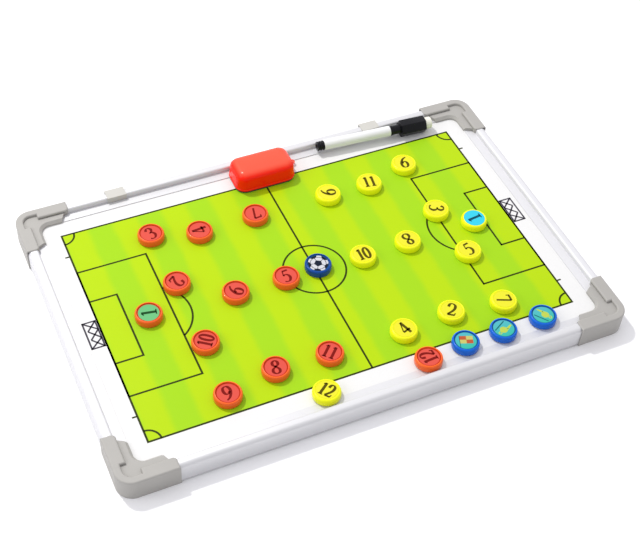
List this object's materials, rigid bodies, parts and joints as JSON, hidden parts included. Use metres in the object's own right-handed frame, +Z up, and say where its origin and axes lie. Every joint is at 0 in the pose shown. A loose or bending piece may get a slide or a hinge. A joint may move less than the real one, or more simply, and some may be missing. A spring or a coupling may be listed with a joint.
{
  "type": "tactics board",
  "caption": "Framed magnetic board printed with a football pitch, with numbered player magnets, an eraser, a capped marker pen and hanger clips",
  "frame": {"origin": "on the surface that the board lies on, under the middle of the board", "axes": "+X along the long side, +Y towards the side with the hanger clips and the eraser, +Z up out of the printed face"},
  "size_m": [0.45, 0.3, 0.034],
  "materials": {
    "rail_aluminium": "satin anodised extrusion",
    "cap_grey": "fine matt moulding",
    "face_print": "printed and varnished steel sheet",
    "core_board": "stiff fibre board",
    "back_skin": "thin lacquered sheet",
    "magnet_red": "smooth moulding",
    "magnet_yellow": "smooth moulding",
    "magnet_blue": "smooth moulding",
    "clip_white": "thin matt moulding",
    "eraser_red": "smooth moulding",
    "felt_black": "pressed felt",
    "ferrite": "pressed ferrite",
    "pen_white": "smooth tube",
    "pen_black": "smooth moulding",
    "ink_felt": "ink soaked fibre",
    "felt_cream": "pressed felt"
  },
  "bodies": {
    "board": {"rail_near": "rail_aluminium", "rail_far": "rail_aluminium", "rail_left": "rail_aluminium", "rail_right": "rail_aluminium", "corner_cap_near_left": "cap_grey", "corner_cap_near_right": "cap_grey", "corner_cap_far_left": "cap_grey", "corner_cap_far_right": "cap_grey", "face_sheet": "face_print", "panel_core": "core_board", "back_sheet": "back_skin"},
    "red_1": {"red_1": "magnet_red"},
    "red_2": {"red_2": "magnet_red"},
    "red_3": {"red_3": "magnet_red"},
    "red_4": {"red_4": "magnet_red"},
    "red_5": {"red_5": "magnet_red"},
    "red_6": {"red_6": "magnet_red"},
    "red_7": {"red_7": "magnet_red"},
    "red_8": {"red_8": "magnet_red"},
    "red_9": {"red_9": "magnet_red"},
    "red_10": {"red_10": "magnet_red"},
    "red_11": {"red_11": "magnet_red"},
    "red_12": {"red_12": "magnet_red"},
    "yellow_1": {"yellow_1": "magnet_yellow"},
    "yellow_2": {"yellow_2": "magnet_yellow"},
    "yellow_3": {"yellow_3": "magnet_yellow"},
    "yellow_4": {"yellow_4": "magnet_yellow"},
    "yellow_5": {"yellow_5": "magnet_yellow"},
    "yellow_6": {"yellow_6": "magnet_yellow"},
    "yellow_7": {"yellow_7": "magnet_yellow"},
    "yellow_8": {"yellow_8": "magnet_yellow"},
    "yellow_9": {"yellow_9": "magnet_yellow"},
    "yellow_10": {"yellow_10": "magnet_yellow"},
    "yellow_11": {"yellow_11": "magnet_yellow"},
    "yellow_12": {"yellow_12": "magnet_yellow"},
    "ball_magnet": {"ball_magnet": "magnet_blue"},
    "flag_magnet": {"flag_magnet": "magnet_blue"},
    "whistle_magnet_a": {"whistle_magnet_a": "magnet_blue"},
    "whistle_magnet_b": {"whistle_magnet_b": "magnet_blue"},
    "eraser": {"eraser_case": "eraser_red", "eraser_felt": "felt_black", "eraser_magnet": "ferrite"},
    "capped_end": {"pen_cap": "pen_black", "pen_cap_magnet": "ferrite", "pen_cap_felt": "felt_cream"},
    "pen": {"pen_barrel": "pen_white", "pen_end_plug": "pen_black", "pen_reservoir": "ink_felt", "pen_section": "pen_black", "pen_nib": "ink_felt"},
    "hanger_left": {"hanger_left": "clip_white"},
    "hanger_right": {"hanger_right": "clip_white"}
  },
  "joints": [
    {"name": "red_1_lift", "type": "slide", "parent": "board", "child": "red_1", "axis": [0, 0, 1], "range_m": [0, 0.025]},
    {"name": "red_2_lift", "type": "slide", "parent": "board", "child": "red_2", "axis": [0, 0, 1], "range_m": [0, 0.025]},
    {"name": "red_3_lift", "type": "slide", "parent": "board", "child": "red_3", "axis": [0, 0, 1], "range_m": [0, 0.025]},
    {"name": "red_4_lift", "type": "slide", "parent": "board", "child": "red_4", "axis": [0, 0, 1], "range_m": [0, 0.025]},
    {"name": "red_5_lift", "type": "slide", "parent": "board", "child": "red_5", "axis": [0, 0, 1], "range_m": [0, 0.025]},
    {"name": "red_6_lift", "type": "slide", "parent": "board", "child": "red_6", "axis": [0, 0, 1], "range_m": [0, 0.025]},
    {"name": "red_7_lift", "type": "slide", "parent": "board", "child": "red_7", "axis": [0, 0, 1], "range_m": [0, 0.025]},
    {"name": "red_8_lift", "type": "slide", "parent": "board", "child": "red_8", "axis": [0, 0, 1], "range_m": [0, 0.025]},
    {"name": "red_9_lift", "type": "slide", "parent": "board", "child": "red_9", "axis": [0, 0, 1], "range_m": [0, 0.025]},
    {"name": "red_10_lift", "type": "slide", "parent": "board", "child": "red_10", "axis": [0, 0, 1], "range_m": [0, 0.025]},
    {"name": "red_11_lift", "type": "slide", "parent": "board", "child": "red_11", "axis": [0, 0, 1], "range_m": [0, 0.025]},
    {"name": "red_12_lift", "type": "slide", "parent": "board", "child": "red_12", "axis": [0, 0, 1], "range_m": [0, 0.025]},
    {"name": "yellow_1_lift", "type": "slide", "parent": "board", "child": "yellow_1", "axis": [0, 0, 1], "range_m": [0, 0.025]},
    {"name": "yellow_2_lift", "type": "slide", "parent": "board", "child": "yellow_2", "axis": [0, 0, 1], "range_m": [0, 0.025]},
    {"name": "yellow_3_lift", "type": "slide", "parent": "board", "child": "yellow_3", "axis": [0, 0, 1], "range_m": [0, 0.025]},
    {"name": "yellow_4_lift", "type": "slide", "parent": "board", "child": "yellow_4", "axis": [0, 0, 1], "range_m": [0, 0.025]},
    {"name": "yellow_5_lift", "type": "slide", "parent": "board", "child": "yellow_5", "axis": [0, 0, 1], "range_m": [0, 0.025]},
    {"name": "yellow_6_lift", "type": "slide", "parent": "board", "child": "yellow_6", "axis": [0, 0, 1], "range_m": [0, 0.025]},
    {"name": "yellow_7_lift", "type": "slide", "parent": "board", "child": "yellow_7", "axis": [0, 0, 1], "range_m": [0, 0.025]},
    {"name": "yellow_8_lift", "type": "slide", "parent": "board", "child": "yellow_8", "axis": [0, 0, 1], "range_m": [0, 0.025]},
    {"name": "yellow_9_lift", "type": "slide", "parent": "board", "child": "yellow_9", "axis": [0, 0, 1], "range_m": [0, 0.025]},
    {"name": "yellow_10_lift", "type": "slide", "parent": "board", "child": "yellow_10", "axis": [0, 0, 1], "range_m": [0, 0.025]},
    {"name": "yellow_11_lift", "type": "slide", "parent": "board", "child": "yellow_11", "axis": [0, 0, 1], "range_m": [0, 0.025]},
    {"name": "yellow_12_lift", "type": "slide", "parent": "board", "child": "yellow_12", "axis": [0, 0, 1], "range_m": [0, 0.025]},
    {"name": "ball_magnet_lift", "type": "slide", "parent": "board", "child": "ball_magnet", "axis": [0, 0, 1], "range_m": [0, 0.025]},
    {"name": "flag_magnet_lift", "type": "slide", "parent": "board", "child": "flag_magnet", "axis": [0, 0, 1], "range_m": [0, 0.025]},
    {"name": "whistle_magnet_a_lift", "type": "slide", "parent": "board", "child": "whistle_magnet_a", "axis": [0, 0, 1], "range_m": [0, 0.025]},
    {"name": "whistle_magnet_b_lift", "type": "slide", "parent": "board", "child": "whistle_magnet_b", "axis": [0, 0, 1], "range_m": [0, 0.025]},
    {"name": "eraser_lift", "type": "slide", "parent": "board", "child": "eraser", "axis": [0, 0, 1], "range_m": [0, 0.04]},
    {"name": "pen_lift", "type": "slide", "parent": "board", "child": "capped_end", "axis": [0, 0, 1], "range_m": [0, 0.04]},
    {"name": "pen_uncap", "type": "slide", "parent": "capped_end", "child": "pen", "axis": [-0.9979, 0.0645, 0], "range_m": [0, 0.024]},
    {"name": "hanger_left_slide", "type": "slide", "parent": "board", "child": "hanger_left", "axis": [1, 0, 0], "range_m": [-0.03, 0.08]},
    {"name": "hanger_right_slide", "type": "slide", "parent": "board", "child": "hanger_right", "axis": [1, 0, 0], "range_m": [-0.025, 0.045]}
  ]
}
